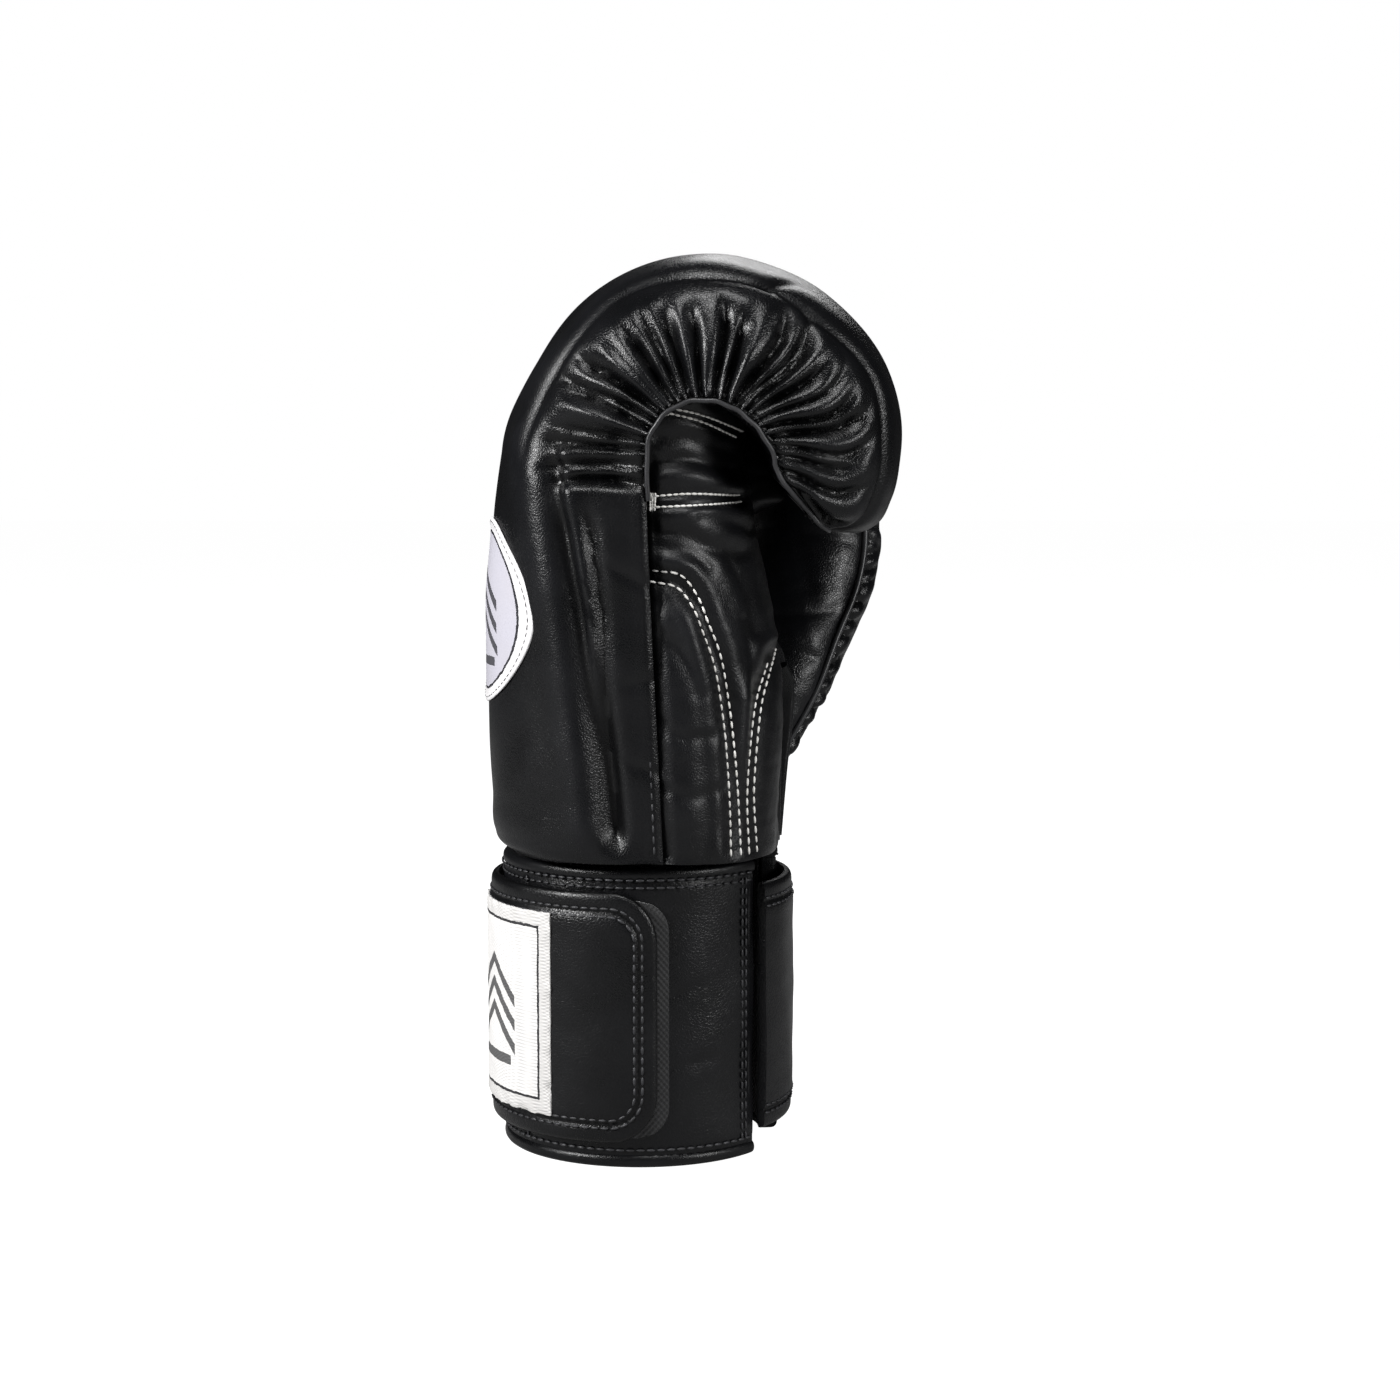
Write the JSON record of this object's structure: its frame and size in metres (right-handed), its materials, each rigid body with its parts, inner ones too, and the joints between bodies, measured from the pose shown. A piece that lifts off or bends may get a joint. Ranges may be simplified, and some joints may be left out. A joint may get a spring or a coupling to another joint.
{
  "type": "boxing glove",
  "caption": "Right-hand boxing glove: padded fist curled over a grip bar, separate padded thumb, slit palm, and a stiff cuff closed by a wrap-round hook-and-loop strap.",
  "frame": {"origin": "centre of the wrist opening, on the plane of the cuff's rim", "axes": "+Z from the wrist to the knuckles, +X the palm side, +Y the thumb side"},
  "size_m": [0.137, 0.1315, 0.2921],
  "materials": {
    "shell_leather": "satin",
    "palm_leather": "satin",
    "binding_leather": "satin",
    "piping": "gloss",
    "foam": "matte",
    "lining": "matte",
    "loop_fabric": "matte",
    "hook_tape": "matte",
    "label": "matte",
    "badge": "satin",
    "thread": "matte"
  },
  "bodies": {
    "hand": {"back_badge": "badge", "back_leather": "shell_leather", "back_lining": "lining", "back_pad": "foam", "finger_base_panel": "palm_leather", "fist_piping": "piping", "grip_bar": "foam", "grip_cover": "palm_leather", "palm_edge_panel": "palm_leather", "palm_insert": "palm_leather", "palm_lining": "lining", "palm_pad_little": "foam", "palm_pad_thumb": "foam", "palm_thumb_panel": "palm_leather", "slit_binding_little": "binding_leather", "slit_binding_thumb": "binding_leather"},
    "cuff": {"cuff_back_panel": "shell_leather", "cuff_foam": "foam", "cuff_lining": "lining", "cuff_little_finger_panel": "shell_leather", "cuff_rim_binding": "binding_leather", "cuff_thumb_panel": "shell_leather", "cuff_top_binding": "binding_leather", "loop_patch": "loop_fabric", "slit_edge_binding_little": "binding_leather", "slit_edge_binding_thumb": "binding_leather", "strap_root": "binding_leather"},
    "fingers": {"finger_inner_panel": "palm_leather", "finger_leather": "shell_leather", "finger_lining": "lining", "finger_pad": "foam", "finger_piping": "piping"},
    "strap_end": {"hook_patch": "hook_tape", "strap_end_binding": "binding_leather", "strap_end_face": "shell_leather", "strap_end_foam": "foam", "strap_label": "label"},
    "strap_middle": {"strap_middle_binding": "binding_leather", "strap_middle_face": "shell_leather", "strap_middle_foam": "foam", "strap_middle_lining": "lining"},
    "strap_near": {"strap_near_binding": "binding_leather", "strap_near_face": "shell_leather", "strap_near_foam": "foam", "strap_near_lining": "lining"},
    "thumb": {"thumb_inner_leather": "palm_leather", "thumb_lining": "lining", "thumb_outer_leather": "shell_leather", "thumb_pad": "foam", "thumb_piping": "piping"}
  },
  "joints": [
    {"name": "wrist_flex", "type": "hinge", "parent": "cuff", "child": "hand", "pos_m": [0.042, 0, 0.0983], "axis": [0, 1, 0], "range_deg": [0, 12], "stiffness_Nm_per_rad": 3},
    {"name": "finger_open", "type": "hinge", "parent": "hand", "child": "fingers", "pos_m": [0.04534, 0, 0.29059], "axis": [0, -1, 0], "range_deg": [0, 15], "stiffness_Nm_per_rad": 1.5},
    {"name": "thumb_open", "type": "hinge", "parent": "hand", "child": "thumb", "pos_m": [0.04, 0.03, 0.115], "axis": [0, 1, 0], "range_deg": [0, 10], "stiffness_Nm_per_rad": 1.5, "springref_deg": -2.86},
    {"name": "strap_near_fold", "type": "hinge", "parent": "cuff", "child": "strap_near", "pos_m": [0.04686, -0.02185, 0.0495], "axis": [0, 0, -1], "range_deg": [0, 44]},
    {"name": "strap_middle_fold", "type": "hinge", "parent": "strap_near", "child": "strap_middle", "pos_m": [0.02585, 0.04477, 0.0495], "axis": [0, 0, -1], "range_deg": [0, 88]},
    {"name": "strap_peel", "type": "hinge", "parent": "strap_middle", "child": "strap_end", "pos_m": [-0.04858, 0.01768, 0.0495], "axis": [0, 0, -1], "range_deg": [0, 110]}
  ],
  "couplings": [
    {"joint": "strap_middle_fold", "follows": "strap_peel", "ratio": 0.8},
    {"joint": "strap_near_fold", "follows": "strap_peel", "ratio": 0.4}
  ]
}
